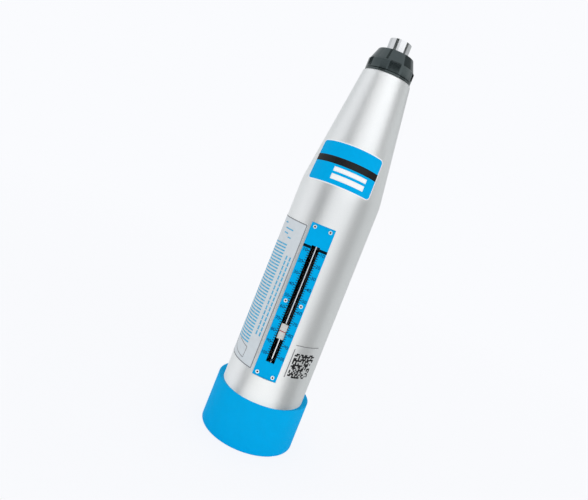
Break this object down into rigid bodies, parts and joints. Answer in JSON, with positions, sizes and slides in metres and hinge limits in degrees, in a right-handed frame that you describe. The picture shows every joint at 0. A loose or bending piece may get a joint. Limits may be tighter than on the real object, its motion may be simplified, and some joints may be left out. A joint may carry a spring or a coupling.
{
  "type": "concrete test hammer",
  "caption": "Spring-driven rebound hammer for testing hard concrete: tapered metal barrel, sliding plunger, rubber palm cap and a slotted reading scale with a rider.",
  "frame": {"origin": "centre of the palm cap's flat tail face", "axes": "+Z along the barrel towards the plunger tip, -Y towards the reading scale, +Y towards the lock button"},
  "size_m": [0.0618, 0.0639, 0.2739],
  "materials": {
    "barrel_aluminium": "satin anodised",
    "cover_aluminium": "turned",
    "black_cap": "glossy black",
    "blue_rubber": "smooth moulded",
    "blue_plate": "printed",
    "clear_window": "clear",
    "rider_plastic": "off-white",
    "bright_steel": "ground and polished",
    "turned_steel": "turned",
    "spring_steel": "drawn wire",
    "black_steel": "blackened",
    "felt": "felt"
  },
  "bodies": {
    "housing": {"housing": "barrel_aluminium", "front_cap": "black_cap", "felt_washer": "felt", "two_part_ring": "turned_steel", "guide_sleeve": "turned_steel", "impact_spring": "spring_steel", "rear_cover": "cover_aluminium", "trip_screw": "turned_steel", "lock_nut": "turned_steel", "palm_cap": "blue_rubber", "scale_plate": "blue_plate", "scale_screws": "bright_steel", "window": "clear_window", "pointer_rod": "bright_steel", "rod_blocks": "turned_steel", "button_bush": "cover_aluminium", "button_spring": "spring_steel", "compression_spring": "spring_steel"},
    "carriage": {"guide_bar": "bright_steel", "guide_flange": "turned_steel", "pawl_pin": "bright_steel", "pawl_spring": "spring_steel", "buffer_spring": "spring_steel"},
    "plunger": {"plunger": "bright_steel"},
    "hammer": {"hammer_mass": "turned_steel"},
    "pawl": {"pawl": "turned_steel"},
    "rider": {"rider": "rider_plastic", "pointer_plate": "black_steel"},
    "button": {"button": "bright_steel"}
  },
  "joints": [
    {"name": "carriage_slide", "type": "slide", "parent": "housing", "child": "carriage", "axis": [0, 0, 1], "range_m": [0, 0.075], "deforming": ["compression_spring"]},
    {"name": "plunger_cushion", "type": "slide", "parent": "carriage", "child": "plunger", "axis": [0, 0, 1], "range_m": [-0.004, 0], "stiffness_N_per_m": 2000, "deforming": ["buffer_spring"]},
    {"name": "hammer_strike", "type": "slide", "parent": "housing", "child": "hammer", "axis": [0, 0, 1], "range_m": [-0.06, 0], "stiffness_N_per_m": 785, "springref_m": 0.005, "deforming": ["impact_spring"]},
    {"name": "pawl_hinge", "type": "hinge", "parent": "carriage", "child": "pawl", "pos_m": [0.0116, 0, 0.0403], "axis": [0, 1, 0], "range_deg": [-13, 0]},
    {"name": "rider_slide", "type": "slide", "parent": "housing", "child": "rider", "axis": [0, 0, 1], "range_m": [-0.015, 0.06]},
    {"name": "button_press", "type": "slide", "parent": "housing", "child": "button", "axis": [0, -1, 0], "range_m": [0, 0.003], "stiffness_N_per_m": 500, "springref_m": -0.001, "deforming": ["button_spring"]}
  ]
}
